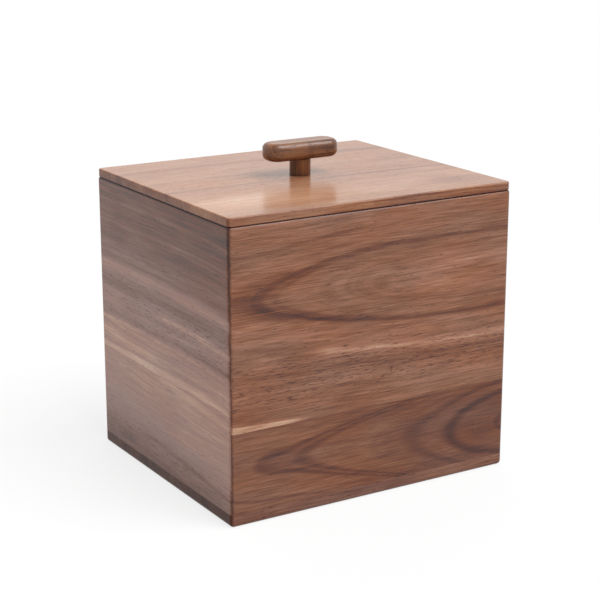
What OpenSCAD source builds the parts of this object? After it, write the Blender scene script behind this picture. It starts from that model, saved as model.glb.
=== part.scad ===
/* [Box] */
// Outer width of the box, left to right
box_w = 150; // [90:1:300]
// Outer depth of the box, front to back
box_d = 130; // [90:1:260]
// Height of the box from the table to the rim the lid rests on
rim_h = 135.5; // [90:0.5:280]
// Thickness of the four walls
wall_t = 9; // [6:0.5:14]
// Rounding of the upright corners
corner_r = 2; // [1:0.25:4]
// Rounding of the rim's outer edge
rim_r = 1; // [0.5:0.25:2]
// Bevel on the rim's inner edge
rim_bevel = 0.6; // [0.25:0.05:2]

/* [Board seams] */
// Height above the table of the glue seam in the front and back walls
front_seam_h = 43.5; // [30:0.5:70]
// Height above the table of the glue seam in the left and right walls
side_seam_h = 51.5; // [30:0.5:70]
// Distance of the base's glue seam from the back of the box
base_seam_y = 38; // [20:1:60]
// Distance of the lid's glue seam from the middle of the lid, towards the front
lid_seam_y = 11; // [8:1:40]

/* [Base] */
// Thickness of the base board under the walls
base_t = 6; // [4:0.5:12]
// Rounding of the base's lower edge
base_r = 2; // [0.5:0.25:4]

/* [Lid] */
// Thickness of the lid's edge, the part that shows above the rim
lid_edge_t = 4.2; // [3:0.1:10]
// How far the lid's edge stays inside the outline of the walls
lid_inset = 0.2; // [0:0.1:2]
// Rounding of the lid's upper edge
lid_top_r = 0.8; // [0.5:0.1:1.5]
// Rounding of the lid's lower edge, which makes the dark line above the rim
lid_under_r = 0.6; // [0.25:0.05:1]
// Depth of the raised middle of the lid's underside, which drops inside the walls
tongue_h = 5; // [3:0.5:10]
// Gap between the tongue and the walls on each side
tongue_play = 1; // [0.5:0.1:2]
// Rounding of the tongue's corners and lower edge
tongue_r = 2; // [0.5:0.25:3]

/* [Handle] */
// Diameter of the turned stem
stem_d = 10; // [8:0.5:16]
// Finger gap between the lid and the underside of the bar
finger_gap = 8; // [6:0.5:20]
// Length of the bar, left to right
bar_l = 38; // [30:1:60]
// Depth of the bar, front to back
bar_d = 14; // [12:0.5:24]
// Height of the bar
bar_h = 8.5; // [8:0.5:16]
// Rounding of the bar's ends, seen from above
bar_end_r = 6; // [2:0.5:7]
// Rounding of the bar's upper and lower edges
bar_r = 3; // [1:0.25:3.5]
// Diameter of the stem's tenon, which is glued into the bar
tenon_d = 6; // [4.5:0.1:7.5]
// Length of the tenon
tenon_h = 5; // [3:0.25:6]
// Room for glue round the tenon and past its end
tenon_play = 0.15; // [0.05:0.05:0.4]

/* [Handle screw] */
// Diameter of the screw's shank
screw_d = 3; // [2.5:0.1:3.5]
// Diameter of the screw's countersunk head
screw_head_d = 6; // [5.5:0.1:7]
// Height of the screw's countersunk head
screw_head_h = 1.8; // [1.5:0.1:2.5]
// Whole length of the screw
screw_l = 16; // [13:0.5:18]
// Width of each slot of the cross in the screw's head
cross_w = 0.9; // [0.5:0.1:1.2]
// Length of each slot of the cross
cross_l = 3; // [2:0.1:3.5]
// Depth of the cross
cross_h = 1.1; // [0.5:0.1:1.3]
// Gap round the screw where it passes through the lid
screw_play = 0.25; // [0.1:0.05:0.5]

/* [Hidden] */

$fn = 64;
// Smooth curves of the screw and its hole
screw_fn = 48;
// Overshoot of a cutter past the surface it cuts
over = 1;

lid_w = box_w - 2 * lid_inset;
lid_d = box_d - 2 * lid_inset;
lid_top = rim_h + lid_edge_t;
cavity_w = box_w - 2 * wall_t;
cavity_d = box_d - 2 * wall_t;
tongue_w = cavity_w - 2 * tongue_play;
tongue_d = cavity_d - 2 * tongue_play;
lid_under = rim_h - tongue_h;
bar_bottom = lid_top + finger_gap;
// Short flat that stays at each end of the bar, however round the ends are
bar_end_flat = 1;
bar_corner = min(bar_end_r, (bar_d - bar_end_flat) / 2);
screw_tip_h = screw_d;
screw_hole_d = screw_d + 2 * screw_play;
base_seam = box_d / 2 - base_seam_y;

// Corner of a square outline that lies outside a quarter circle, with the corner at the origin
module corner_waste(r) {
    difference() {
        translate([-r, -over])
            square([r + over, r + over]);
        translate([-r, r])
            circle(r = r);
    }
}

// Half of a slab's section, from its middle to its outer face, with the outer edges rounded
module half_profile(width, height, r_low, r_high) {
    difference() {
        square([width, height]);
        translate([width, 0])
            corner_waste(r_low);
        translate([width, height])
            mirror([0, 1])
                corner_waste(r_high);
    }
}

// Whole section of a slab
module slab_profile(width, height, r_low, r_high) {
    union() {
        half_profile(width / 2, height, r_low, r_high);
        mirror([1, 0])
            half_profile(width / 2, height, r_low, r_high);
    }
}

// Block with round upright corners and rounded lower and upper edges, standing on z = 0
module soft_block(width, depth, height, r_corner, r_low, r_high) {
    low = min(r_low, r_corner);
    high = min(r_high, r_corner);
    for (x = [-1, 1], y = [-1, 1])
        translate([x * (width / 2 - r_corner), y * (depth / 2 - r_corner), 0])
            rotate_extrude()
                half_profile(r_corner, height, low, high);
    rotate([90, 0, 0])
        linear_extrude(depth - 2 * r_corner, center = true)
            slab_profile(width, height, low, high);
    rotate([90, 0, 90])
        linear_extrude(width - 2 * r_corner, center = true)
            slab_profile(depth, height, low, high);
}

module outer_block() {
    soft_block(box_w, box_d, rim_h, corner_r, base_r, rim_r);
}

// Plan of one mitred wall whose outer face looks along -Y
module mitre_plan(width, depth) {
    polygon([
        [-width / 2, -depth / 2],
        [width / 2, -depth / 2],
        [width / 2 - wall_t, -depth / 2 + wall_t],
        [-width / 2 + wall_t, -depth / 2 + wall_t]
    ]);
}

// Bevel along the inner top edge of the wall whose outer face looks along -Y
module rim_bevel_cut(width, depth) {
    translate([0, -depth / 2 + wall_t, rim_h])
        rotate([90, 0, 90])
            linear_extrude(width, center = true)
                polygon([
                    [-rim_bevel, 0], [-rim_bevel, over], [over, over],
                    [over, -rim_bevel], [0, -rim_bevel]
                ]);
}

// One board of the wall whose outer face looks along the turned -Y, between two heights
module wall_board(turn, low, high) {
    width = turn % 180 == 0 ? box_w : box_d;
    depth = turn % 180 == 0 ? box_d : box_w;
    difference() {
        intersection() {
            outer_block();
            rotate([0, 0, turn])
                translate([0, 0, low])
                    linear_extrude(high - low)
                        mitre_plan(width, depth);
        }
        rotate([0, 0, turn])
            rim_bevel_cut(width, depth);
    }
}

// One board of the base, between two distances from the box's middle
module base_board(front, back) {
    intersection() {
        outer_block();
        translate([-box_w / 2, front, 0])
            cube([box_w, back - front, base_t]);
    }
}

module lid_block() {
    translate([0, 0, rim_h])
        soft_block(lid_w, lid_d, lid_edge_t, corner_r, lid_under_r, lid_top_r);
    translate([0, 0, lid_under])
        soft_block(tongue_w, tongue_d, tongue_h + lid_edge_t / 2, tongue_r, tongue_r, lid_under_r);
}

// Cone of the screw's head, with its wide face on the underside of the lid
module screw_cone() {
    translate([0, 0, lid_under])
        cylinder(h = screw_head_h, d1 = screw_head_d, d2 = screw_d, $fn = screw_fn);
}

// Hole in the lid for the screw, with a countersink that its head seats in
module screw_hole() {
    translate([0, 0, lid_under - over])
        cylinder(h = lid_top - lid_under + 2 * over, d = screw_hole_d, $fn = screw_fn);
    screw_cone();
}

// One board of the lid, between two distances from the box's middle
module lid_board(front, back) {
    difference() {
        intersection() {
            lid_block();
            translate([-box_w / 2, front, lid_under])
                cube([box_w, back - front, lid_top - lid_under]);
        }
        screw_hole();
    }
}

module base_front_board() {
    color("sienna")
        base_board(-box_d / 2, base_seam);
}

module base_back_board() {
    color("saddlebrown")
        base_board(base_seam, box_d / 2);
}

module front_upper_board() {
    color("peru")
        wall_board(0, front_seam_h, rim_h);
}

module front_lower_board() {
    color("sienna")
        wall_board(0, base_t, front_seam_h);
}

module right_upper_board() {
    color("sienna")
        wall_board(90, side_seam_h, rim_h);
}

module right_lower_board() {
    color("peru")
        wall_board(90, base_t, side_seam_h);
}

module back_upper_board() {
    color("peru")
        wall_board(180, front_seam_h, rim_h);
}

module back_lower_board() {
    color("sienna")
        wall_board(180, base_t, front_seam_h);
}

module left_upper_board() {
    color("rosybrown")
        wall_board(270, side_seam_h, rim_h);
}

module left_lower_board() {
    color("sienna")
        wall_board(270, base_t, side_seam_h);
}

module lid_front_board() {
    color("burlywood")
        lid_board(-box_d / 2, -lid_seam_y);
}

module lid_back_board() {
    color("tan")
        lid_board(-lid_seam_y, box_d / 2);
}

// Turned stem: a tenon at the top, and a pilot hole from below for the screw
module handle_stem() {
    color("saddlebrown")
        difference() {
            union() {
                translate([0, 0, lid_top])
                    cylinder(h = finger_gap, d = stem_d);
                translate([0, 0, bar_bottom])
                    cylinder(h = tenon_h, d = tenon_d);
            }
            screw_body();
        }
}

// Bar with round ends and soft edges, with a blind hole for the tenon
module handle_bar() {
    color("peru")
        difference() {
            translate([0, 0, bar_bottom])
                soft_block(bar_l, bar_d, bar_h, bar_corner, bar_r, bar_r);
            translate([0, 0, bar_bottom - over])
                cylinder(h = tenon_h + tenon_play + over, d = tenon_d + 2 * tenon_play);
        }
}

// Shank and point of the screw, with the head's face on the underside of the lid
module screw_body() {
    translate([0, 0, lid_under])
        cylinder(h = screw_l - screw_tip_h, d = screw_d, $fn = screw_fn);
    translate([0, 0, lid_under + screw_l - screw_tip_h])
        cylinder(h = screw_tip_h, d1 = screw_d, d2 = 0, $fn = screw_fn);
}

// Countersunk wood screw that holds the stem from below
module handle_screw() {
    color("silver")
        difference() {
            union() {
                screw_body();
                screw_cone();
            }
            for (turn = [0, 90])
                rotate([0, 0, turn])
                    translate([-cross_l / 2, -cross_w / 2, lid_under - over])
                        cube([cross_l, cross_w, cross_h + over]);
        }
}

base_front_board();
base_back_board();
front_upper_board();
front_lower_board();
back_upper_board();
back_lower_board();
left_upper_board();
left_lower_board();
right_upper_board();
right_lower_board();
lid_front_board();
lid_back_board();
handle_stem();
handle_bar();
handle_screw();
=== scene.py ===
# A wooden kitchen box: mitred walls of two boards each, a glued base, and a flat lid with a T-shaped handle.
import bpy
import bmesh
import math
from mathutils import Matrix, Vector


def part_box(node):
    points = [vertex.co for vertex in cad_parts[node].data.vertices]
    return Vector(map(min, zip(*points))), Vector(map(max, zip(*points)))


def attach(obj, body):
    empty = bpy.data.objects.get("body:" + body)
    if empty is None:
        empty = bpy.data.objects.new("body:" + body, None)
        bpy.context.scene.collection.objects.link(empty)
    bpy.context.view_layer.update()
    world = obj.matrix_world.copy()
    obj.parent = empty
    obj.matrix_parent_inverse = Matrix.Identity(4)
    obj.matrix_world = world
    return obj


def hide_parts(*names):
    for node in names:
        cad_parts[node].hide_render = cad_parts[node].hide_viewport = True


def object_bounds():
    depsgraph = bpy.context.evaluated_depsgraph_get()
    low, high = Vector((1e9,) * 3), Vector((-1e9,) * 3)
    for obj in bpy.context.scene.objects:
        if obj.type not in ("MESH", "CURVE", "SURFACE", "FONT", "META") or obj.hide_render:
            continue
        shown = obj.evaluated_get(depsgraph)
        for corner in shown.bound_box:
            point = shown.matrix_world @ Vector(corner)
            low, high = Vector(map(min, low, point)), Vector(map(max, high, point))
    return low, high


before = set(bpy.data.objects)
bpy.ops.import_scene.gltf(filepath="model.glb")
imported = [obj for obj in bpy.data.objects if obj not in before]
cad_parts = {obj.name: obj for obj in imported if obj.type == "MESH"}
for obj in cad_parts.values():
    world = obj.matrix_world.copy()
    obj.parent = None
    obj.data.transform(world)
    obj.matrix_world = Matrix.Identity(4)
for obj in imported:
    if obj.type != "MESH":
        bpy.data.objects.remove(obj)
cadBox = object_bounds()
print("frame loaded:", len(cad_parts), "nodes")

mm = 0.001  # a millimetre in metres
near = 1e-6  # two places closer than this are the same
scene = bpy.context.scene
scene.view_settings.view_transform = "Standard"


def linearColour(hexText):
    # an sRGB hex colour as linear red, green, blue and an alpha of 1
    channels = [int(hexText[i:i + 2], 16) / 255 for i in (1, 3, 5)]
    return [c / 12.92 if c <= 0.04045 else ((c + 0.055) / 1.055) ** 2.4 for c in channels] + [1]


def addNode(tree, kind, inputs=(), **settings):
    # inputs, in the order of the sockets or by name: a plain value, an output, or a node for its first output
    node = tree.nodes.new("ShaderNode" + kind)
    for name, value in settings.items():
        setattr(node, name, value)
    for socket, value in inputs.items() if isinstance(inputs, dict) else enumerate(inputs):
        if isinstance(value, bpy.types.Node):
            value = value.outputs[0]
        if isinstance(value, bpy.types.NodeSocket):
            tree.links.new(value, node.inputs[socket])
        else:
            node.inputs[socket].default_value = value
    return node


def newTree(owner):
    owner.use_nodes = True
    owner.node_tree.nodes.clear()
    return owner.node_tree


# Camera, at the photograph's viewing angle
view = {
    "azimuth": -31.5,  # degrees round the box, from straight in front towards its left side
    "elevation": 15.65,
    "distance": 0.783,  # metres from the middle of the box
    "focalLength": 97.3,  # on a 36 mm sensor
}


def placeCamera():
    camera = bpy.data.objects.new("camera", bpy.data.cameras.new("camera"))
    scene.collection.objects.link(camera)
    camera.data.sensor_width = 36
    camera.data.lens = view["focalLength"]
    azimuth, elevation = math.radians(view["azimuth"]), math.radians(view["elevation"])
    level = math.cos(elevation)
    back = Vector((math.sin(azimuth) * level, -math.cos(azimuth) * level, math.sin(elevation)))
    camera.location = (cadBox[0] + cadBox[1]) / 2 + back * view["distance"]
    camera.rotation_euler = back.to_track_quat("Z", "Y").to_euler()
    scene.camera = camera


placeCamera()

# Light: an even white room, a wide soft lamp above the front right, and two weak ones at the left and behind
light = {
    "room": 0.36,  # brightness of the room on what it lights
    "lamps": {
        "frontLamp": {"from": (0.28, -0.5, 0.82), "strength": 3.2, "spread": 50},
        "leftLamp": {"from": (-0.8, 0.1, 0.45), "strength": 0.5, "spread": 70},
        "backLamp": {"from": (0.3, 0.8, 0.5), "strength": 0.9, "spread": 60},
    },
    "mirrored": ("frontLamp",),  # lamps that show in the lacquer, along its rounded edges
}


def seenDirectly(tree):
    # 1 for rays from the camera and for those mirrored or let through, 0 for light that falls on the object
    path = addNode(tree, "LightPath").outputs
    mirrored = addNode(tree, "Math", [path["Is Camera Ray"], path["Is Glossy Ray"]], operation="MAXIMUM")
    return addNode(tree, "Math", [mirrored, path["Is Transmission Ray"]], operation="MAXIMUM")


def lightRoom():
    world = bpy.data.worlds.new("whiteRoom")
    scene.world = world
    tree = newTree(world)
    level = addNode(tree, "MapRange", [seenDirectly(tree), 0, 1, light["room"], 1])
    room = addNode(tree, "Background", [(1, 1, 1, 1), level])
    addNode(tree, "OutputWorld", [room])
    for name, lamp in light["lamps"].items():
        sun = bpy.data.lights.new(name, "SUN")
        sun.energy = lamp["strength"]
        sun.angle = math.radians(lamp["spread"])
        holder = bpy.data.objects.new(name, sun)
        scene.collection.objects.link(holder)
        holder.rotation_euler = Vector(lamp["from"]).to_track_quat("Z", "Y").to_euler()
        holder.visible_glossy = name in light["mirrored"]


lightRoom()

floor = {
    "size": 8.0,  # metres across
    "grey": 0.55,  # share of the light that the board throws back on the box
    "seenGrey": 0.18,  # share of the light on it that is seen, and so how dark the shadow gets
    "glow": 0.77,  # added where it is seen, so that the lit board is white
    "fade": (0.3, 0.8),  # metres from the box over which it turns into plain white
}


def layFloor():
    board = bmesh.new()
    bmesh.ops.create_grid(board, x_segments=1, y_segments=1, size=floor["size"] / 2)
    mesh = bpy.data.meshes.new("floor")
    board.to_mesh(mesh)
    board.free()
    sheet = bpy.data.objects.new("floor", mesh)
    scene.collection.objects.link(sheet)
    look = bpy.data.materials.new("whitePaintedBoard")  # matt paint: pale, with a soft shadow and no shine
    tree = newTree(look)
    place = addNode(tree, "TexCoord").outputs["Object"]
    reach = addNode(tree, "VectorMath", [place], operation="LENGTH").outputs["Value"]
    away = addNode(tree, "MapRange", [reach, *floor["fade"]], interpolation_type="SMOOTHSTEP")
    painted = addNode(tree, "BsdfDiffuse", [[floor["grey"]] * 3 + [1]])
    seenPaint = addNode(tree, "BsdfDiffuse", [[floor["seenGrey"]] * 3 + [1]])
    glow = addNode(tree, "Emission", [(1, 1, 1, 1), floor["glow"]])
    white = addNode(tree, "Emission", [(1, 1, 1, 1), 1])
    seen = addNode(tree, "AddShader", [seenPaint, glow])
    seenFar = addNode(tree, "MixShader", [away, seen, white])
    surface = addNode(tree, "MixShader", [seenDirectly(tree), painted, seenFar])
    addNode(tree, "OutputMaterial", [surface])
    mesh.materials.append(look)


layFloor()
print("camera, light and floor done")

# Acacia, sawn and planed, oiled and lacquered to a satin: brown heartwood with dark growth rings, pale sapwood,
# short dark pores along the grain, and a soft veil of white at low angles.
# Each board is cut out of a tree of its own. Its rings lie round the pith, a line that runs along the board.
# A ring is drawn through one point of the outer face ("at"), with a width inwards and outwards ("soft").
# Lengths are in millimetres, and a tone goes from 0, dark, to 1, pale.
frontTones = [(0.0, "#34150c"), (0.1, "#461e13"), (0.32, "#683923"), (0.49, "#805238"), (0.59, "#8f5f48"),
              (0.68, "#9b6950"), (0.8, "#aa8167"), (1.0, "#c9a48a")]
sideTones = [(0.0, "#35180f"), (0.15, "#4f291b"), (0.3, "#71402c"), (0.4, "#7d5344"), (0.5, "#8c6659"),
             (0.6, "#977065"), (0.7, "#a47b6b"), (0.8, "#bb917b"), (1.0, "#d1ae97")]
baseTones = [(0.0, "#34150c"), (0.2, "#512c1f"), (0.45, "#724d41"), (0.6, "#8a6350"), (1.0, "#c9a48a")]
lidTones = [(0.0, "#472115"), (0.2, "#733f28"), (0.5, "#a17151"), (0.7, "#b58a6e"), (1.0, "#d6b39a")]
darkTones = [(0.0, "#24110a"), (0.25, "#402312"), (0.5, "#60371c"), (0.7, "#7f4e2a"), (1.0, "#b0805a")]

lacquer = {
    "roughness": 0.25,
    "unevenness": 0.05,  # by which the streaks make it rougher and smoother
    "shine": 0.45,
    "poreDepth": 0.05,  # how deep the pores are felt through the lacquer
    "fibreDepth": 0.008,
}
patterns = {  # their length along the fibres, their width, both in millimetres, and how fine they get
    "fibre": (14, 0.5, 3.0),
    "streak": (60, 2.4, 2.0),
    "cloud": (38, 12, 2.0),
    "pore": (4.0, 0.5, 1.0),  # real pores are 0.2 mm wide, drawn coarser so that they show
    "wander": (45, 14, 2.0),
}
usual = (0.3, 0.7)  # a pattern runs from 0 to 1, and seldom leaves this part of it
wood = {  # lengths in millimetres, darkness in tones
    "growthLength": 60,  # of the faint growth between the drawn rings, along the board
    "growthDepth": 12,
    "growthDetail": 3.0,
    "ringStrength": (0.7, 1.2),  # a ring gets fainter and stronger with the clouds
    "ringCrossing": 5,  # above and below the pith, over which a ring of one side fades out
    "ringEnding": 6,  # the same along the board, at the ends of its span
    "markCore": 0.15,  # share of a mark that has its full tone
    "poreEdge": 0.07,  # how far over its limit the speckle is a full pore
    "poreFade": (0.4, 1.2),  # where the pores get few, in halves of their band
    "endFacing": (0.3, 0.9),  # how squarely a face looks along the board where end grain starts, and is full
    "warmth": (0.93, 1.07),  # the colour's strength, which wanders along a board
    "mitreLines": ((0.35, 0.3), (1.6, 0.16)),  # width and darkness of the glue, and of a wider, fainter darkening beside it along the corner
    "seamLine": (0.4, 0.12),
    "grooveShade": (0.25, 0.8, 0.32),  # painted shade in the groove: half of its width, where the shade on its lips ends, and how dark it is
    "grooveShadeDepth": (1, 2),  # how far in from the outer face the painted groove shade fades out
}


def curveAlong(tree, along, points):
    # a smooth curve through (place along the board, value) points, and a function that reads it
    first, last = points[0][0], points[-1][0]
    low = min(value for place, value in points) - 1
    high = max(value for place, value in points) + 1
    share = addNode(tree, "MapRange", [along, first, last])
    curve = addNode(tree, "FloatCurve", {"Value": share})
    line = curve.mapping.curves[0]
    while len(line.points) < len(points):
        line.points.new(0.5, 0.5)
    for point, (place, value) in zip(line.points, points):
        point.location = ((place - first) / (last - first), (value - low) / (high - low))
    curve.mapping.update()

    def read(place):
        return low + (high - low) * curve.mapping.evaluate(line, (place - first) / (last - first))

    return addNode(tree, "MapRange", [curve, 0, 1, low, high]), read


def pithDistance(tree, grain, board, fibre, wandering):
    # how far a point is from the pith, which wanders slowly; the fibres fray the distance
    along, across, out = board
    fray, wander = grain["fray"], grain["wander"]
    pithHeight, heightAt = curveAlong(tree, along, grain["pithHeight"])
    pithDepth, depthAt = curveAlong(tree, along, grain["pithDepth"])
    frayed = addNode(tree, "Math", [fibre, fray, across], operation="MULTIPLY_ADD")
    frayed = addNode(tree, "Math", [frayed, fray / 2], operation="SUBTRACT")
    rise = addNode(tree, "Math", [wandering[0], wander, frayed], operation="MULTIPLY_ADD")
    rise = addNode(tree, "Math", [rise, wander / 2], operation="SUBTRACT")
    rise = addNode(tree, "Math", [rise, pithHeight], operation="SUBTRACT")
    depth = addNode(tree, "Math", [wandering[1], wander, pithDepth], operation="MULTIPLY_ADD")
    depth = addNode(tree, "Math", [depth, wander / 2], operation="SUBTRACT")
    depth = addNode(tree, "Math", [depth, out], operation="SUBTRACT")
    section = addNode(tree, "CombineXYZ", [rise, depth])
    radius = addNode(tree, "VectorMath", [section], operation="LENGTH").outputs["Value"]

    def reachOf(ring):
        place, height = ring["at"]
        return math.hypot(height - heightAt(place), depthAt(place))

    return radius, rise, frayed, reachOf


def drawRings(tree, grain, tone, along, radius, rise, reachOf, cloud):
    # growth rings, each through one point of the face, that fade inwards and outwards
    strength = addNode(tree, "MapRange", [cloud, *usual, *wood["ringStrength"]])
    crossing, ending = wood["ringCrossing"], wood["ringEnding"]
    sides = {
        "above": addNode(tree, "MapRange", [rise, -crossing, crossing, 0, 1], interpolation_type="SMOOTHSTEP"),
        "below": addNode(tree, "MapRange", [rise, -crossing, crossing, 1, 0], interpolation_type="SMOOTHSTEP"),
    }
    for ring in grain["rings"]:
        reach = reachOf(ring)
        inner, outer = ring["soft"]
        inside = addNode(tree, "MapRange", [radius, reach - inner, reach, 0, 1], interpolation_type="SMOOTHSTEP")
        band = addNode(tree, "MapRange", [radius, reach, reach + outer, ring["tone"], 0],
                       interpolation_type="SMOOTHSTEP")
        band = addNode(tree, "Math", [band, inside], operation="MULTIPLY")
        if "side" in ring:
            band = addNode(tree, "Math", [band, sides[ring["side"]]], operation="MULTIPLY")
        if "span" in ring:
            start, end = ring["span"]
            for place, low, high in ((start, 0, 1), (end, 1, 0)):
                share = addNode(tree, "MapRange", [along, place - ending, place + ending, low, high],
                                interpolation_type="SMOOTHSTEP")
                band = addNode(tree, "Math", [band, share], operation="MULTIPLY")
        tone = addNode(tree, "Math", [band, strength, tone], operation="MULTIPLY_ADD")
    return tone


def drawMarks(tree, grain, tone, along, frayed):
    # streaks and patches that belong to no ring
    for mark in grain.get("marks", ()):
        place = addNode(tree, "CombineXYZ", [along, frayed])
        place = addNode(tree, "VectorMath", [place, (*mark["at"], 0)], operation="SUBTRACT")
        place = addNode(tree, "VectorMath", [place, (*mark["size"], 1)], operation="DIVIDE")
        reach = addNode(tree, "VectorMath", [place], operation="LENGTH").outputs["Value"]
        spot = addNode(tree, "MapRange", [reach, wood["markCore"], 1, mark["tone"], 0],
                       interpolation_type="SMOOTHSTEP")
        tone = addNode(tree, "Math", [tone, spot], operation="ADD")
    return tone


def findPores(tree, grain, across, speckle):
    # 1 in a pore and 0 beside it; pores are dashes, thickest in one band across the board
    bandLow, bandHigh = grain["poreBand"]
    half = (bandHigh - bandLow) / 2
    few, many = grain["poreLimit"]
    start, end = wood["poreFade"]
    fromBand = addNode(tree, "Math", [across, bandLow + half], operation="SUBTRACT")
    fromBand = addNode(tree, "Math", [fromBand], operation="ABSOLUTE")
    limit = addNode(tree, "MapRange", [fromBand, half * start, half * end, many, few],
                    interpolation_type="SMOOTHSTEP")
    pores = addNode(tree, "Math", [speckle, limit], operation="SUBTRACT")
    return addNode(tree, "MapRange", [pores, 0, wood["poreEdge"]])


def drawGlue(tree, tone, board, seam, mitre):
    # glue shows as a thin dark line, at a mitre along the whole corner and at a seam along the board
    along, across, out = board
    if mitre is not None:
        fromEnd = addNode(tree, "Math", [along], operation="ABSOLUTE")
        fromMitre = addNode(tree, "Math", [mitre, fromEnd], operation="SUBTRACT")
        fromMitre = addNode(tree, "Math", [fromMitre, out], operation="ADD")
        for width, darkness in wood["mitreLines"]:
            line = addNode(tree, "MapRange", [fromMitre, 0, width, -darkness, 0], interpolation_type="SMOOTHSTEP")
            tone = addNode(tree, "Math", [tone, line], operation="ADD")
    if seam is not None:
        width, darkness = wood["seamLine"]
        fromSeam = addNode(tree, "Math", [across, seam], operation="SUBTRACT")
        fromSeam = addNode(tree, "Math", [fromSeam], operation="ABSOLUTE")
        line = addNode(tree, "MapRange", [fromSeam, 0, width, -darkness, 0], interpolation_type="SMOOTHSTEP")
        tone = addNode(tree, "Math", [tone, line], operation="ADD")
    return tone


def paintGrooveShade(tree, tone, board, groove, onWall):
    # painted shade: darkens the lips of the groove between the lid and the rim, where shade falls into it
    along, across, out = board
    level, (halfX, halfY) = groove
    if onWall:
        height = across
        inward = addNode(tree, "Math", [0, out], operation="SUBTRACT")
    else:
        height = out
        fromEnd = addNode(tree, "Math", [along], operation="ABSOLUTE")
        fromEnd = addNode(tree, "Math", [halfX, fromEnd], operation="SUBTRACT")
        fromSide = addNode(tree, "Math", [across], operation="ABSOLUTE")
        fromSide = addNode(tree, "Math", [halfY, fromSide], operation="SUBTRACT")
        inward = addNode(tree, "Math", [fromEnd, fromSide], operation="MINIMUM")
    start, end, darkness = wood["grooveShade"]
    fromGroove = addNode(tree, "Math", [height, level], operation="SUBTRACT")
    fromGroove = addNode(tree, "Math", [fromGroove], operation="ABSOLUTE")
    grooveShade = addNode(tree, "MapRange", [fromGroove, start, end, -darkness, 0], interpolation_type="SMOOTHSTEP")
    share = addNode(tree, "MapRange", [inward, *wood["grooveShadeDepth"], 1, 0], interpolation_type="SMOOTHSTEP")
    return addNode(tree, "Math", [grooveShade, share, tone], operation="MULTIPLY_ADD")


def boardWood(name, grain, turn, face, seam=None, mitre=None, groove=None):
    # turn and face bring a board's length to X, its width to Y and its outer face to a height of 0
    look = bpy.data.materials.new(name)
    tree = newTree(look)
    coordinates = addNode(tree, "TexCoord").outputs
    turnAngles = [math.radians(angle) for angle in turn]
    turned = addNode(tree, "Mapping", [coordinates["Object"], (0, 0, -face), turnAngles, [1 / mm] * 3])
    board = addNode(tree, "SeparateXYZ", [turned]).outputs[:]
    along, across, out = board
    seed = grain["seed"]
    found = {}
    for pattern, (length, width, detail) in patterns.items():
        place = addNode(tree, "VectorMath", [turned, (1 / length, 1 / width, 1 / width), [seed] * 3],
                        operation="MULTIPLY_ADD")
        found[pattern] = addNode(tree, "TexNoise", {"Vector": place, "Scale": 1.0, "Detail": detail})
    wandering = addNode(tree, "SeparateColor", [found["wander"].outputs["Color"]]).outputs
    radius, rise, frayed, reachOf = pithDistance(tree, grain, board, found["fibre"], wandering)
    place = addNode(tree, "CombineXYZ", [along, radius, out])
    spacing = (1 / wood["growthLength"], 1 / grain["growth"], 1 / wood["growthDepth"])
    place = addNode(tree, "VectorMath", [place, spacing, (seed, 0, 0)], operation="MULTIPLY_ADD")
    found["growth"] = addNode(tree, "TexNoise", {"Vector": place, "Scale": 1.0, "Detail": wood["growthDetail"]})

    tone = curveAlong(tree, along, grain["tone"])[0]
    tone = addNode(tree, "Math", [tone, sum(grain["weights"].values()) / 2], operation="SUBTRACT")
    for pattern, weight in grain["weights"].items():
        tone = addNode(tree, "Math", [found[pattern], weight, tone], operation="MULTIPLY_ADD")
    tone = drawRings(tree, grain, tone, along, radius, rise, reachOf, found["cloud"])
    tone = drawMarks(tree, grain, tone, along, frayed)
    pores = findPores(tree, grain, across, found["pore"])
    tone = addNode(tree, "Math", [pores, -grain["poreTone"], tone], operation="MULTIPLY_ADD")

    # End grain drinks more oil and goes dark
    normal = addNode(tree, "Mapping", {"Vector": coordinates["Normal"], "Rotation": turnAngles},
                     vector_type="NORMAL")
    facing = addNode(tree, "Math", [addNode(tree, "SeparateXYZ", [normal])], operation="ABSOLUTE")
    drunk = addNode(tree, "MapRange", [facing, *wood["endFacing"], 0, -grain["endTone"]],
                    interpolation_type="SMOOTHSTEP")
    tone = addNode(tree, "Math", [tone, drunk], operation="ADD")
    tone = drawGlue(tree, tone, board, seam, mitre)
    # painted shade in the groove between the lid and the rim
    if groove:
        tone = paintGrooveShade(tree, tone, board, groove, onWall=mitre is not None)

    colour = addNode(tree, "ValToRGB", [tone])
    stops = colour.color_ramp.elements
    while len(stops) < len(grain["tones"]):
        stops.new(0.5)
    for stop, (place, hexText) in zip(stops, grain["tones"]):
        stop.position = place
        stop.color = linearColour(hexText)
    warmth = addNode(tree, "MapRange", [wandering[2], *usual, *wood["warmth"]])
    warmed = addNode(tree, "HueSaturation", {"Color": colour, "Saturation": warmth})
    height = addNode(tree, "Math", [pores, -lacquer["poreDepth"]], operation="MULTIPLY")
    height = addNode(tree, "Math", [found["fibre"], lacquer["fibreDepth"], height], operation="MULTIPLY_ADD")
    bump = addNode(tree, "Bump", {"Height": height, "Strength": 1.0, "Distance": mm})
    gloss, uneven = grain.get("roughness", lacquer["roughness"]), lacquer["unevenness"]
    roughness = addNode(tree, "MapRange", [found["streak"], 0, 1, gloss - uneven, gloss + uneven])
    surface = addNode(tree, "BsdfPrincipled", {
        "Base Color": warmed,
        "Roughness": roughness,
        "Specular IOR Level": grain.get("shine", lacquer["shine"]),
        "Normal": bump,
    })
    addNode(tree, "OutputMaterial", [surface])
    return look


def roundEdges(bm, chosen, size, segments):
    # rounds the edges for which chosen(edge) is true
    edges = [edge for edge in bm.edges if chosen(edge)]
    bmesh.ops.bevel(bm, geom=edges, offset=size, offset_type="OFFSET", segments=segments, profile=0.5,
                    affect="EDGES", material=-1, clamp_overlap=True)


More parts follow.
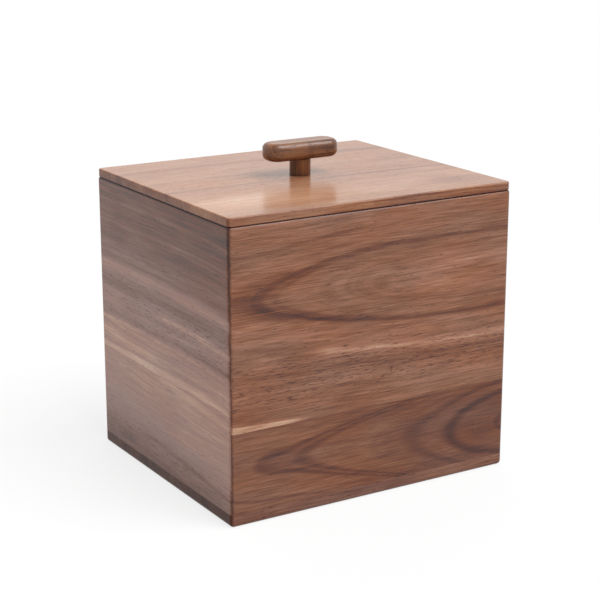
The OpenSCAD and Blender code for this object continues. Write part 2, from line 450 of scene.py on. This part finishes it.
def softBlock(low, high, corner, lower, upper, segments):
    # a block between two corners, with its upright, lower and upper edges rounded
    bm = bmesh.new()
    bmesh.ops.create_cube(bm, size=1)
    bmesh.ops.scale(bm, vec=high - low, verts=bm.verts)
    bmesh.ops.translate(bm, vec=(low + high) / 2, verts=bm.verts)
    roundEdges(bm, lambda edge: abs(edge.verts[0].co.z - edge.verts[1].co.z) > near, corner, segments)
    for level, size in ((low.z, lower), (high.z, upper)):
        if size:
            roundEdges(bm, lambda edge: all(abs(v.co.z - level) < near for v in edge.verts), size, segments)
    return bm


def cutAt(bm, point, normal):
    # takes away what lies beyond a plane, on the side that its normal points to, and closes the cut
    cut = bmesh.ops.bisect_plane(bm, geom=bm.verts[:] + bm.edges[:] + bm.faces[:], dist=near,
                                 plane_co=point, plane_no=normal, clear_outer=True)
    rim = [part for part in cut["geom_cut"] if isinstance(part, bmesh.types.BMEdge)]
    bmesh.ops.edgeloop_fill(bm, edges=rim)


def turnedShape(profile, segments):
    # a solid turned about Z, from (radius, height) points in millimetres that start and end on the axis
    bm = bmesh.new()
    points = [bm.verts.new((radius * mm, 0, height * mm)) for radius, height in profile]
    edges = [bm.edges.new(pair) for pair in zip(points, points[1:])]
    bmesh.ops.spin(bm, geom=points + edges, cent=(0, 0, 0), axis=(0, 0, 1), dvec=(0, 0, 0), angle=math.tau,
                   steps=segments, use_merge=True, use_duplicate=False)
    bmesh.ops.remove_doubles(bm, verts=bm.verts, dist=near)
    bmesh.ops.recalc_face_normals(bm, faces=bm.faces)
    return bm


def combine(bm, other, operation):
    # adds another shape to this one, or takes it away
    holders = []
    for shape in (bm, other):
        mesh = bpy.data.meshes.new("shape")
        shape.to_mesh(mesh)
        shape.free()
        holder = bpy.data.objects.new("shape", mesh)
        scene.collection.objects.link(holder)
        holders.append(holder)
    step = holders[0].modifiers.new("step", "BOOLEAN")
    step.object = holders[1]
    step.operation = operation
    step.solver = "EXACT"
    combined = bpy.data.meshes.new_from_object(holders[0].evaluated_get(bpy.context.evaluated_depsgraph_get()))
    result = bmesh.new()
    result.from_mesh(combined)
    bmesh.ops.remove_doubles(result, verts=result.verts, dist=near)
    for holder in holders:
        bpy.data.objects.remove(holder)
    return result


crease = math.radians(28)  # an edge that turns more than this stays sharp


def finishPiece(name, bm, look, body, node):
    # turns the shape into the piece that stands for a CAD node
    bmesh.ops.recalc_face_normals(bm, faces=bm.faces)
    for face in bm.faces:
        face.smooth = True
    for edge in bm.edges:
        edge.smooth = edge.calc_face_angle(0) < crease
    mesh = bpy.data.meshes.new(name)
    bm.to_mesh(mesh)
    bm.free()
    mesh.materials.append(look)
    piece = bpy.data.objects.new(name, mesh)
    scene.collection.objects.link(piece)
    shading = piece.modifiers.new("evenShading", "WEIGHTED_NORMAL")
    shading.keep_sharp = True
    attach(piece, body)
    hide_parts(node)
    return piece


boxHalf = cadBox[1]
wallLow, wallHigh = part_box("front_upper_board")
rim = wallHigh.z
wallThickness = wallHigh.y - wallLow.y
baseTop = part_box("base_front_board")[1].z

block = {
    "corner": 2.0 * mm,
    "lower": 1.9 * mm,  # under the corner's, so that both roundings have room
    "upper": 1.0 * mm,
    "rimBevel": 0.6 * mm,
    "segments": 6,
}


def outerBlock():
    # the whole box as one solid block, from which each board is cut
    return softBlock(Vector((-boxHalf.x, -boxHalf.y, 0)), Vector((boxHalf.x, boxHalf.y, rim)),
                     block["corner"], block["lower"], block["upper"], block["segments"])


def wallBoard(turn, low, high, halfLength, reach):
    # a board of the wall that looks along -Y turned by so many degrees, with mitred ends, between two heights
    bm = outerBlock()
    spin = Matrix.Rotation(math.radians(turn), 4, "Z")
    inner = -reach + wallThickness
    planes = [
        ((-halfLength, -reach, 0), (-1, 1, 0)),
        ((halfLength, -reach, 0), (1, 1, 0)),
        ((0, inner, 0), (0, 1, 0)),
        ((0, 0, low), (0, 0, -1)),
        ((0, 0, high), (0, 0, 1)) if high < rim - near else ((0, inner, rim - block["rimBevel"]), (0, 1, 1)),
    ]
    for point, normal in planes:
        cutAt(bm, spin @ Vector(point), spin @ Vector(normal))
    return bm


# Flat-sawn, with one long arch in its rings, and sapwood at its lower left corner
frontUpper = {
    "seed": 1.7,
    "tones": frontTones,
    "pithHeight": [(-76, 101.8), (-39, 101.9), (-5, 101.8), (25, 100.5), (76, 100.2)],
    "pithDepth": [(-76, 21.4), (-61, 19), (-39, 16), (-9, 10.5), (10, 7.2), (40, 4), (76, 3.4)],
    "wander": 0.8,
    "fray": 0.9,
    "growth": 1.1,
    "tone": [(-76, 0.5), (76, 0.5)],
    "weights": {"fibre": 0.64, "streak": 0.27, "cloud": 0.24, "growth": 0.34},
    "rings": [
        {"at": (-61, 101.8), "soft": (3.0, 2.4), "tone": -0.18, "span": (-90, -42)},
        {"at": (-61, 101.8), "soft": (2.3, 1.3), "tone": -0.25, "span": (-42, 90)},
        {"at": (-61, 101.8), "soft": (0.8, 3.6), "tone": -0.09, "side": "below", "span": (-66, 10)},
        {"at": (45, 121.8), "soft": (1.2, 1.4), "tone": -0.1, "side": "above", "span": (22, 90)},
        {"at": (45, 90), "soft": (3.5, 4), "tone": -0.05, "side": "below", "span": (10, 90)},
        {"at": (-75, 119.6), "soft": (0.9, 1.3), "tone": -0.14, "side": "above", "span": (-90, -5)},
        {"at": (20, 126), "soft": (0.8, 1.0), "tone": -0.07, "side": "above"},
        {"at": (10, 70.7), "soft": (3.6, 2.6), "tone": 0.25, "side": "below", "span": (-30, 90)},
        {"at": (10, 75.7), "soft": (3, 3), "tone": 0.06, "side": "below"},
        {"at": (11, 65), "soft": (2.5, 4.5), "tone": -0.1, "side": "below"},
        {"at": (-75, 46.6), "soft": (0.5, 30), "tone": 0.42, "side": "below", "span": (-90, -38)},
    ],
    "marks": [
        {"at": (48, 101), "size": (50, 16), "tone": 0.1},
        {"at": (-68, 101.8), "size": (12, 8), "tone": -0.08},
        {"at": (-4, 89.5), "size": (6, 0.9), "tone": 0.1},
        {"at": (65, 101), "size": (7, 0.6), "tone": -0.12},
        {"at": (17, 100.7), "size": (10, 0.6), "tone": -0.1},
        {"at": (9, 59.7), "size": (1.2, 2.4), "tone": -0.2},
        {"at": (12, 59.2), "size": (2.4, 0.8), "tone": -0.12},
    ],
    "poreBand": (50, 76),
    "poreLimit": (0.66, 0.57),
    "poreTone": 0.22,
    "endTone": 0.1,
}

# Darker, with four arches one inside the other, the last one almost black
frontLower = {
    "seed": 5.2,
    "tones": frontTones,
    "pithHeight": [(-76, 26.6), (-40, 26.4), (0, 25), (42, 22.7), (76, 22.3)],
    "pithDepth": [(-76, 30.5), (-61, 29.24), (-40, 28.5), (-9, 25.96), (6, 24.2), (18, 22.4), (41, 17.3),
                  (56, 12.3), (71, 7.7), (76, 6)],
    "wander": 0.3,
    "fray": 0.7,
    "growth": 1.4,
    "tone": [(-76, 0.44), (-40, 0.42), (0, 0.38), (35, 0.32), (76, 0.3)],
    "weights": {"fibre": 0.58, "streak": 0.2, "cloud": 0.2, "growth": 0.18},
    "rings": [
        {"at": (-61, 26.7), "soft": (0.55, 0.4), "tone": -0.21},
        {"at": (-40, 26.7), "soft": (0.6, 0.45), "tone": -0.21},
        {"at": (20.5, 24.9), "soft": (1.5, 1.2), "tone": -0.13},
        {"at": (42.5, 22.7), "soft": (2.4, 1.6), "tone": -0.24},
        {"at": (71, 22.5), "soft": (2.0, 1.0), "tone": -0.12},
        {"at": (-74, 12.1), "soft": (0.6, 0.5), "tone": -0.17, "side": "below", "span": (-90, -25)},
        {"at": (-74, 6.9), "soft": (0.5, 0.4), "tone": -0.12, "side": "below", "span": (-90, -30)},
    ],
    "marks": [
        {"at": (66, 41.8), "size": (14, 1.0), "tone": -0.1},
    ],
    "poreBand": (0, 12),
    "poreLimit": (0.665, 0.63),
    "poreTone": 0.18,
    "endTone": 0.1,
}

# Nearly quarter-sawn: pale and dark streaks from end to end
leftUpper = {
    "seed": 9.4,
    "tones": sideTones,
    "pithHeight": [(-66, -120), (-9, -119.5), (21, -119.3), (66, -122)],
    "pithDepth": [(-66, 60), (66, 60)],
    "wander": 1.6,
    "fray": 1.4,
    "growth": 1.2,
    "tone": [(-66, 0.71), (66, 0.69)],
    "weights": {"fibre": 0.38, "streak": 0.26, "cloud": 0.22, "growth": 0.26},
    "rings": [
        # darker towards the top: partly the board's own tone, partly painted reflection, the paler lower part
        # standing for the white floor mirrored in the lacquer
        {"at": (0, 136), "soft": (82, 20), "tone": -0.5},
        {"at": (0, 127), "soft": (1.3, 1.3), "tone": 0.1},
        {"at": (0, 117), "soft": (1.3, 1.3), "tone": 0.09},
        {"at": (0, 110), "soft": (5, 5), "tone": -0.06},
        {"at": (0, 95), "soft": (4.6, 3.8), "tone": 0.25},
        {"at": (0, 87), "soft": (5, 4.5), "tone": -0.12},
        {"at": (14, 80.7), "soft": (2.4, 2.2), "tone": 0.14, "span": (0, 90)},
        {"at": (0, 71.5), "soft": (3.5, 7), "tone": -0.16},
        {"at": (0, 74), "soft": (1.6, 1.6), "tone": 0.1},
        {"at": (0, 68.5), "soft": (1.8, 1.8), "tone": 0.08},
        {"at": (0, 60), "soft": (4, 5), "tone": 0.06},
        {"at": (0, 54), "soft": (3.6, 2.4), "tone": 0.17},
    ],
    "shine": 0.36,
    "poreBand": (64, 90),
    "poreLimit": (0.66, 0.59),
    "poreTone": 0.22,
    "endTone": 0.1,
}

leftLower = {
    "seed": 12.6,
    "tones": sideTones,
    "pithHeight": [(-66, -77), (0, -80), (66, -85)],
    "pithDepth": [(-66, 60), (66, 60)],
    "wander": 1.6,
    "fray": 1.0,
    "growth": 1.6,
    "tone": [(-66, 0.68), (66, 0.7)],
    "weights": {"fibre": 0.32, "streak": 0.12, "cloud": 0.12, "growth": 0.1},
    "rings": [
        {"at": (0, 3), "soft": (10, 24), "tone": -0.4},
        {"at": (1, 17.2), "soft": (1.6, 1.6), "tone": -0.16, "span": (-20, 90)},
        {"at": (0, 44), "soft": (5, 5), "tone": 0.05},
        {"at": (0, 51.5), "soft": (3.5, 3), "tone": 0.09},
    ],
    "marks": [
        {"at": (-39, 11), "size": (14, 4), "tone": -0.14},
    ],
    "shine": 0.36,
    "poreBand": (6, 20),
    "poreLimit": (0.66, 0.61),
    "poreTone": 0.2,
    "endTone": 0.1,
}

# Flat-sawn too, with its arches the other way round
backUpper = {
    **frontUpper,
    "seed": 83.1,
    "pithHeight": [(-76, 92), (-20, 90.5), (30, 91), (76, 93)],
    "pithDepth": [(-76, 5), (-40, 8), (0, 14), (40, 20.5), (76, 25)],
    "wander": 1.2,
    "tone": [(-76, 0.5), (0, 0.53), (76, 0.49)],
    "rings": [
        {"at": (-30, 90.7), "soft": (1.6, 1.0), "tone": -0.16},
        {"at": (2, 90.6), "soft": (2.6, 1.2), "tone": -0.24},
        {"at": (8, 90.7), "soft": (0.6, 3.4), "tone": 0.07},
        {"at": (34, 91), "soft": (1.4, 0.9), "tone": -0.15},
        {"at": (60, 92), "soft": (2.8, 1.2), "tone": -0.2},
        {"at": (0, 120), "soft": (3.5, 3.0), "tone": 0.12, "side": "above"},
        {"at": (0, 126), "soft": (1.4, 1.0), "tone": -0.14, "side": "above"},
        {"at": (0, 60), "soft": (3.0, 1.4), "tone": -0.18, "side": "below"},
        {"at": (0, 54), "soft": (2.5, 5.0), "tone": 0.14, "side": "below"},
    ],
    "marks": [{"at": (-40, 92), "size": (34, 7), "tone": 0.08}],
    "poreBand": (86, 108),
}

# Straight streaks, darker towards the foot
backLower = {
    **frontLower,
    "seed": 90.7,
    "pithHeight": [(-76, -62), (-10, -60), (76, -64)],
    "pithDepth": [(-76, 42), (76, 47)],
    "wander": 1.4,
    "fray": 1.1,
    "tone": [(-76, 0.4), (76, 0.44)],
    "weights": {"fibre": 0.45, "streak": 0.22, "cloud": 0.18, "growth": 0.2},
    "rings": [
        {"at": (0, 10), "soft": (6, 4), "tone": -0.16},
        {"at": (0, 17), "soft": (1.4, 0.8), "tone": -0.16},
        {"at": (0, 24), "soft": (3, 3), "tone": 0.12},
        {"at": (0, 33), "soft": (2.4, 0.9), "tone": -0.2},
        {"at": (0, 39), "soft": (2, 3), "tone": 0.08},
    ],
    "marks": [],
    "poreBand": (26, 40),
}

# Quarter-sawn like the left wall, from another tree
rightUpper = {
    **leftUpper,
    "seed": 104.9,
    "pithHeight": [(-66, 238), (0, 240), (66, 236)],
    "pithDepth": [(-66, 55), (66, 61)],
    "tone": [(-66, 0.62), (66, 0.6)],
    "rings": [
        {"at": (0, 131), "soft": (3, 5), "tone": -0.14},
        {"at": (0, 122), "soft": (2.2, 3.0), "tone": 0.2},
        {"at": (0, 113), "soft": (1.0, 1.6), "tone": -0.16},
        {"at": (0, 104), "soft": (7, 5), "tone": -0.08},
        {"at": (0, 96), "soft": (1.2, 1.2), "tone": 0.12},
        {"at": (0, 84), "soft": (3, 4), "tone": 0.16},
        {"at": (0, 76), "soft": (1.0, 1.8), "tone": -0.2},
        {"at": (0, 66), "soft": (2, 5), "tone": 0.1},
        {"at": (0, 58), "soft": (2, 2), "tone": -0.12},
    ],
    "poreBand": (100, 122),
}
rightLower = {
    **leftLower,
    "seed": 112.3,
    "pithHeight": [(-66, 150), (66, 146)],
    "pithDepth": [(-66, 48), (66, 44)],
    "tone": [(-66, 0.6), (66, 0.62)],
    "rings": [
        {"at": (0, 43), "soft": (3, 4), "tone": 0.1},
        {"at": (0, 33), "soft": (0.9, 1.6), "tone": -0.18},
        {"at": (0, 24), "soft": (4, 4), "tone": -0.1},
        {"at": (0, 12), "soft": (1.0, 2.2), "tone": -0.2},
    ],
    "marks": [{"at": (30, 25), "size": (30, 5), "tone": -0.08}],
    "poreBand": (22, 36),
}

walls = {
    "front": (0, "front_wood", frontUpper, frontLower),
    "right": (90, "side_wood", rightUpper, rightLower),
    "back": (180, "front_wood", backUpper, backLower),
    "left": (270, "side_wood", leftUpper, leftLower),
}
for side, (turn, slotName, upperGrain, lowerGrain) in walls.items():
    halfLength, reach = (boxHalf.x, boxHalf.y) if turn % 180 == 0 else (boxHalf.y, boxHalf.x)
    for level, grain in (("upper", upperGrain), ("lower", lowerGrain)):
        node = side + "_" + level + "_board"
        low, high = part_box(node)
        # the upper boards get painted groove shade along the rim
        groove = (rim / mm, (0, 0)) if level == "upper" else None
        seam = (low if level == "upper" else high).z / mm
        look = boardWood(side + level.title() + "Acacia", grain, (-90, -turn, 0), reach / mm, seam,
                         halfLength / mm, groove)
        board = wallBoard(turn, low.z, high.z, halfLength, reach)
        finishPiece(node + "_wood", board, look, "box", node)
print("walls done")

# Base: two boards under all the walls, with dark end grain at the left and right
baseGrain = {
    "tones": baseTones,
    "pithHeight": [(-76, -140), (0, -141), (76, -139)],
    "pithDepth": [(-76, 40), (76, 40)],
    "wander": 3.0,
    "fray": 1.0,
    "growth": 1.3,
    "tone": [(-76, 0.505), (76, 0.495)],
    "weights": {"fibre": 0.5, "streak": 0.25, "cloud": 0.25, "growth": 0.3},
    "rings": [
        {"at": (0, 40), "soft": (6, 8), "tone": -0.12},
        {"at": (0, 8), "soft": (3, 3), "tone": 0.14},
        {"at": (0, -20), "soft": (4, 5), "tone": -0.14},
        {"at": (0, -48), "soft": (3, 2), "tone": 0.12},
    ],
    "shine": 0.12,
    "poreBand": (-20, 10),
    "poreLimit": (0.67, 0.63),
    "poreTone": 0.25,
    "endTone": 0.31,
}
baseBoards = {  # the side of the seam that is cut off, along Y, and the seed of the grain
    "base_front_board": (1, 21.3),
    "base_back_board": (-1, 33.8),
}
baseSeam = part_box("base_back_board")[0].y
turnedOver = (180, 0, 0)  # the base's outer face looks down
for node, (normal, seed) in baseBoards.items():
    bm = outerBlock()
    cutAt(bm, Vector((0, 0, baseTop)), Vector((0, 0, 1)))
    cutAt(bm, Vector((0, baseSeam, 0)), Vector((0, normal, 0)))
    name = node.replace("_board", "") + "Acacia"
    look = boardWood(name, {**baseGrain, "seed": seed}, turnedOver, 0, -baseSeam / mm)
    finishPiece(node + "_wood", bm, look, "box", node)
print("base done")

# Lid: two boards glued edge to edge, thinner at the edge, which rests on the rim
lid = {
    "corner": 2.0 * mm,
    "lower": 0.6 * mm,
    "upper": 0.8 * mm,
    "tongueLow": 1.9 * mm,  # rounding under the raised middle
    "tongueIn": 9.8 * mm,  # from the lid's edge to the raised middle
    "segments": 5,
}
lidGrain = {
    "tones": lidTones,
    "pithHeight": [(-76, -150), (-20, -149), (30, -149.4), (76, -151)],
    "pithDepth": [(-76, 50), (76, 50)],
    "wander": 2.0,
    "fray": 1.2,
    "growth": 1.3,
    "tone": [(-76, 0.5), (0, 0.47), (76, 0.44)],
    "weights": {"fibre": 0.42, "streak": 0.24, "cloud": 0.22, "growth": 0.24},
    "rings": [
        {"at": (10, -12.2), "soft": (2.4, 2.0), "tone": -0.19, "span": (0, 90)},
        {"at": (10, -6.5), "soft": (2.0, 1.8), "tone": -0.15, "span": (-80, 60)},
        {"at": (10, -22.5), "soft": (3.0, 2.6), "tone": -0.1, "span": (10, 90)},
        {"at": (0, 42), "soft": (6, 6), "tone": -0.16},
        {"at": (0, 14), "soft": (3, 3), "tone": -0.05},
        {"at": (0, -38), "soft": (22, 20), "tone": 0.08},
    ],
    "marks": [
        {"at": (58, -46), "size": (26, 14), "tone": -0.14},
        {"at": (-50, -40), "size": (48, 26), "tone": 0.18},
        {"at": (0, -65.6), "size": (4000, 2.2), "tone": -0.17},  # a darker edge along the whole front
    ],
    "poreBand": (-30, 30),
    "poreLimit": (0.66, 0.63),
    "poreTone": 0.2,
    "endTone": 0.24,
    "roughness": 0.2,
    "shine": 0.29,
}
lidBoards = {
    "lid_front_board": (1, 40.1),
    "lid_back_board": (-1, 47.9),
}
lidLow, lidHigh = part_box("lid_back_board")
lidHalf = Vector((lidHigh.x, lidHigh.y, 0))
lidUnder, lidTop = lidLow.z, lidHigh.z
lidSeam = lidLow.y
screwLow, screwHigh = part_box("handle_screw")
screw = {  # in millimetres
    "headHeight": 1.8,
    "headEase": 0.1,  # softened edge of the head
    "shank": 3.0,
    "core": 2.1,
    "coreTaper": 0.4,  # height over which the shank narrows to the core
    "play": 0.25,  # gap round it in the lid
    "pitch": 1.2,
    "ridge": 0.35,  # half the thread's width at its root, in pitches
    "buried": 0.2,  # how deep the thread starts inside the core
    "crestPlay": 0.01,  # how far its crest stays inside the shank's outline
    "runIn": 0.5,  # length over which it starts beside the plain part
    "runOut": 0.4,  # and how far from the point it ends
    "threadSteps": 24,  # in one turn of the thread
    "plain": 5.0,  # length below the thread, with the head
    "slot": (0.9, 3.0, 1.1),  # width, length and depth of the cross in its head
    "segments": 48,
}
past = 1  # millimetres that a cutter goes past the surface it cuts
headRadius = screwHigh.x / mm
screwFoot, screwTip = screwLow.z / mm, screwHigh.z / mm


def lidPanel():
    bm = softBlock(Vector((-lidHalf.x, -lidHalf.y, rim)), Vector((lidHalf.x, lidHalf.y, lidTop)),
                   lid["corner"], lid["lower"], lid["upper"], lid["segments"])
    inset = Vector((lid["tongueIn"], lid["tongueIn"], 0))
    tongue = softBlock(-lidHalf + inset + Vector((0, 0, lidUnder)), lidHalf - inset + Vector((0, 0, rim)),
                       lid["corner"], lid["tongueLow"], 0, lid["segments"])
    loose = bpy.data.meshes.new("tongue")
    tongue.to_mesh(loose)
    tongue.free()
    bm.from_mesh(loose)
    bpy.data.meshes.remove(loose)
    facing = [face for face in bm.faces if all(abs(v.co.z - rim) < near for v in face.verts)]
    edges = [edge for face in facing for edge in face.edges]
    bmesh.ops.delete(bm, geom=facing, context="FACES_ONLY")
    bmesh.ops.bridge_loops(bm, edges=edges)
    return bm


for node, (normal, seed) in lidBoards.items():
    bm = lidPanel()
    cutAt(bm, Vector((0, lidSeam, 0)), Vector((0, normal, 0)))
    if node == "lid_back_board":
        hole = screw["shank"] / 2 + screw["play"]
        slope = (headRadius - screw["shank"] / 2) / screw["headHeight"]
        countersunk = turnedShape([
            (0, screwFoot - past), (headRadius + slope * past, screwFoot - past),
            (hole, screwFoot + (headRadius - hole) / slope), (hole, lidTop / mm + past), (0, lidTop / mm + past),
        ], screw["segments"])
        bm = combine(bm, countersunk, "DIFFERENCE")
    name = node.replace("_board", "") + "Acacia"
    # painted groove shade along the lid's lower edge, where it rests on the rim
    groove = ((rim - lidTop) / mm, (lidHalf.x / mm, lidHalf.y / mm))
    look = boardWood(name, {**lidGrain, "seed": seed}, (0, 0, 0), lidTop / mm, lidSeam / mm, groove=groove)
    finishPiece(node + "_wood", bm, look, "lid", node)
print("lid done")

# Handle: a turned stem with a tenon in a bar with round ends, held by a screw from below
handle = {
    "endRound": 6.0 * mm,
    "lower": 3.0 * mm,
    "upper": 2.8 * mm,
    "tenon": 3.0,  # radius of the stem's end in the bar, in millimetres
    "tenonPlay": 0.15,
    "ease": 0.3,  # softened edge at the stem's foot and at the tenon's end
    "segments": 10,
    "turnedSegments": 96,
}
barGrain = {
    "seed": 60.5,
    "tones": darkTones,
    "pithHeight": [(-20, -22), (0, -22.5), (20, -22)],
    "pithDepth": [(-20, 8), (20, 9)],
    "wander": 1.5,
    "fray": 0.7,
    "growth": 0.9,
    # painted highlight: the bar is paler at its left end
    "tone": [(-20, 0.72), (-12, 0.64), (20, 0.62)],
    "weights": {"fibre": 0.5, "streak": 0.3, "cloud": 0.24, "growth": 0.36},
    "rings": [
        {"at": (0, -6.2), "soft": (1.4, 1.2), "tone": -0.14},
        {"at": (0, 0), "soft": (1.6, 1.4), "tone": -0.1},
        {"at": (0, 4), "soft": (1.6, 2.0), "tone": 0.12},
        {"at": (12, -4.7), "soft": (0.9, 0.7), "tone": -0.2, "span": (3, 40)},
        {"at": (0, -3.2), "soft": (0.6, 0.8), "tone": 0.1},
    ],
    "marks": [
        {"at": (-17, -6), "size": (6, 6), "tone": -0.07},
        {"at": (2, -7), "size": (2.6, 4), "tone": -0.09},
        {"at": (13, -7), "size": (7, 4), "tone": -0.08},
    ],
    "poreBand": (-10, -5),
    "poreLimit": (0.68, 0.62),
    "poreTone": 0.26,
    "endTone": 0.05,
    "shine": 0.52,
}
stemGrain = {
    "seed": 71.2,
    "tones": darkTones,
    "pithHeight": [(130, -9), (160, -9)],
    "pithDepth": [(130, 4), (160, 4)],
    "wander": 1.0,
    "fray": 0.6,
    "growth": 0.8,
    # painted shade: the stem is darker over its lowest 2.5 mm, where it stands on the lid
    "tone": [(130, 0.25), (139.5, 0.3), (142, 0.48), (160, 0.48)],
    "weights": {"fibre": 0.4, "streak": 0.3, "cloud": 0.15, "growth": 0.5},
    "rings": [],
    "poreBand": (-5, 5),
    "poreLimit": (0.68, 0.64),
    "poreTone": 0.2,
    "endTone": 0.12,
}
barLow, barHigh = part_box("handle_bar")
stemLow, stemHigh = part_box("handle_stem")
stemRadius = stemHigh.x / mm
stemFoot, stemShoulder, tenonEnd = stemLow.z / mm, barLow.z / mm, stemHigh.z / mm
tenon, ease = handle["tenon"], handle["ease"]
corner = ease * 0.3  # the middle of the softened edge stands this far off both faces
pilot = screw["shank"] / 2
stemShape = turnedShape([
    (0, screwTip), (pilot, screwTip - screw["shank"]), (pilot, stemFoot),
    (stemRadius - ease, stemFoot), (stemRadius - corner, stemFoot + corner), (stemRadius, stemFoot + ease),
    (stemRadius, stemShoulder), (tenon, stemShoulder),
    (tenon, tenonEnd - ease), (tenon - ease, tenonEnd), (0, tenonEnd),
], handle["turnedSegments"])
stemWood = boardWood("stemAcacia", stemGrain, (0, 90, 0), 0)
finishPiece("handle_stem_wood", stemShape, stemWood, "lid", "handle_stem")

barShape = softBlock(barLow, barHigh, handle["endRound"], handle["lower"], handle["upper"], handle["segments"])
socket, socketEnd = tenon + handle["tenonPlay"], tenonEnd + handle["tenonPlay"]
tenonHole = turnedShape([
    (0, stemShoulder - past), (socket, stemShoulder - past), (socket, socketEnd), (0, socketEnd),
], handle["turnedSegments"])
barShape = combine(barShape, tenonHole, "DIFFERENCE")
barWood = boardWood("barAcacia", barGrain, (0, 0, 0), barHigh.z / mm)
finishPiece("handle_bar_wood", barShape, barWood, "lid", "handle_bar")

# Zinc-plated steel: grey and bright, a little cloudy and yellowish where the plating is thicker
steel = bpy.data.materials.new("zincPlatedSteel")
steelTree = newTree(steel)
place = addNode(steelTree, "TexCoord").outputs["Object"]
place = addNode(steelTree, "Mapping", {"Vector": place, "Scale": [1 / mm] * 3})
spot = addNode(steelTree, "TexNoise", {"Vector": place, "Scale": 2.5, "Detail": 3.0})  # clouds 0.4 mm wide
sheen = addNode(steelTree, "MapRange", [spot, 0, 1, 0.25, 0.45])
plating = {0: spot, 6: linearColour("#b9bab8"), 7: linearColour("#d0cfc6")}  # share and the two colours
tint = addNode(steelTree, "Mix", plating, data_type="RGBA")
metal = addNode(steelTree, "BsdfPrincipled", {
    "Base Color": tint.outputs[2],
    "Metallic": 1.0,
    "Roughness": sheen,
})
addNode(steelTree, "OutputMaterial", [metal])


def screwThread():
    # a ridge that winds up round the core and gets smaller towards the point
    start, end = screwFoot + screw["plain"] - screw["runIn"], screwTip - screw["runOut"]
    root, crest = screw["core"] / 2 - screw["buried"], screw["shank"] / 2 - screw["crestPlay"]
    half = screw["pitch"] * screw["ridge"]
    turns = (end - start) / screw["pitch"]
    steps = round(turns * screw["threadSteps"])
    bm = bmesh.new()
    for radius, height in ((root, start - half), (crest, start), (root, start + half)):
        bm.verts.new((radius * mm, 0, height * mm))
    bm.faces.new(bm.verts)
    bmesh.ops.spin(bm, geom=bm.verts[:] + bm.edges[:] + bm.faces[:], cent=(0, 0, 0), axis=(0, 0, 1),
                   dvec=(0, 0, (end - start) / steps * mm), angle=math.tau * turns, steps=steps,
                   use_merge=False, use_duplicate=False)
    for vertex in bm.verts:
        narrowing = min(1, (screwTip - vertex.co.z / mm) / screw["shank"])
        vertex.co.x *= narrowing
        vertex.co.y *= narrowing
    bmesh.ops.recalc_face_normals(bm, faces=bm.faces)
    return bm


shank, core, plainEnd = screw["shank"] / 2, screw["core"] / 2, screwFoot + screw["plain"]
screwShape = turnedShape([
    (0, screwFoot), (headRadius - screw["headEase"], screwFoot), (headRadius, screwFoot + screw["headEase"]),
    (shank, screwFoot + screw["headHeight"]), (shank, plainEnd), (core, plainEnd + screw["coreTaper"]),
    (core, screwTip - screw["shank"]), (0, screwTip),
], screw["segments"])
screwShape = combine(screwShape, screwThread(), "UNION")
for turn in (0, 90):
    slot = bmesh.new()
    width, length, depth = screw["slot"]
    bmesh.ops.create_cube(slot, size=1)
    bmesh.ops.scale(slot, vec=Vector((length, width, depth * 2)) * mm, verts=slot.verts)
    bmesh.ops.rotate(slot, cent=(0, 0, 0), matrix=Matrix.Rotation(math.radians(turn), 3, "Z"), verts=slot.verts)
    bmesh.ops.translate(slot, vec=(0, 0, screwLow.z), verts=slot.verts)
    screwShape = combine(screwShape, slot, "DIFFERENCE")
finishPiece("handle_screw_steel", screwShape, steel, "lid", "handle_screw")
print("handle done")
